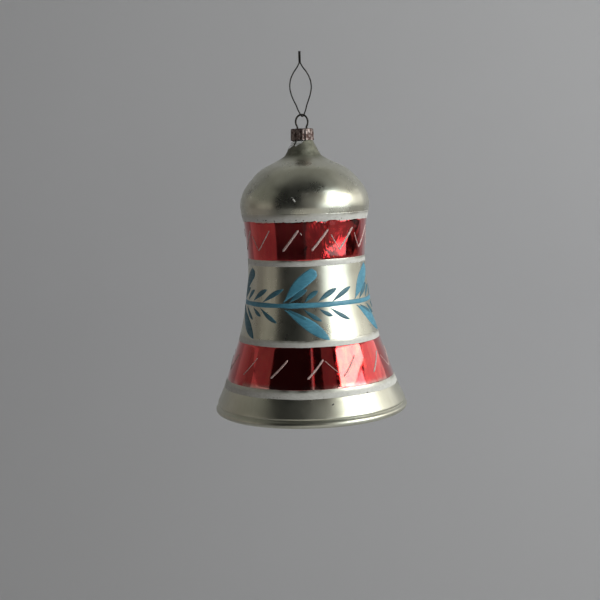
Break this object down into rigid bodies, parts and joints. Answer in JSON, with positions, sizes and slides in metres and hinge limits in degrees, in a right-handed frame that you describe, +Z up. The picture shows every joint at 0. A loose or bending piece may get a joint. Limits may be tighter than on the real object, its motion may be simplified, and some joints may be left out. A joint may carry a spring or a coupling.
{
  "type": "christmas bell ornament",
  "caption": "Silvered blown-glass Christmas bell with painted bands, leaf garland, crimped metal cap, sprung wire ring, wire hanging loop and a swinging clapper.",
  "frame": {"origin": "centre of the rim's standing plane", "axes": "+Z up through the cap and ring, the face towards -Y is the front, X to the right seen from the front"},
  "size_m": [0.066, 0.066, 0.1216],
  "materials": {
    "blown_glass": "gloss",
    "silvering": "satin",
    "red_lacquer": "gloss",
    "white_paint": "frosted",
    "blue_paint": "satin",
    "glitter_line": "glitter",
    "cap_metal": "aged",
    "spring_wire": "blackened",
    "hanging_wire": "blackened",
    "clapper_glass": "gloss",
    "clapper_wire": "satin"
  },
  "bodies": {
    "bell": {"glass_bell": "blown_glass", "silver_lining": "silvering", "upper_red_band": "red_lacquer", "lower_red_band": "red_lacquer", "dome_stripe": "white_paint", "waist_top_stripe": "white_paint", "waist_bottom_stripe": "white_paint", "skirt_stripe": "white_paint", "leaf_garland": "blue_paint", "upper_zigzag": "glitter_line", "lower_zigzag": "glitter_line", "clapper_eyelet": "clapper_glass"},
    "cap": {"cap": "cap_metal", "ring_clip": "spring_wire"},
    "hanger": {"hanging_wire": "hanging_wire"},
    "clapper_link": {"clapper_link": "clapper_wire"},
    "clapper": {"clapper_wire": "clapper_wire", "clapper_bead": "clapper_glass"}
  },
  "joints": [
    {"name": "cap_turn", "type": "hinge", "parent": "bell", "child": "cap", "pos_m": [0, 0, 0.0938], "axis": [0, 0, 1], "continuous": true},
    {"name": "hanger_swing", "type": "hinge", "parent": "cap", "child": "hanger", "pos_m": [0, 0, 0.10055], "axis": [1, 0, 0], "range_deg": [-125, 125]},
    {"name": "clapper_link_swing", "type": "hinge", "parent": "bell", "child": "clapper_link", "pos_m": [0, 0, 0.0589], "axis": [1, 0, 0], "range_deg": [-17, 17]},
    {"name": "clapper_swing", "type": "hinge", "parent": "clapper_link", "child": "clapper", "pos_m": [0, 0, 0.05705], "axis": [0, 1, 0], "range_deg": [-17, 17]}
  ]
}
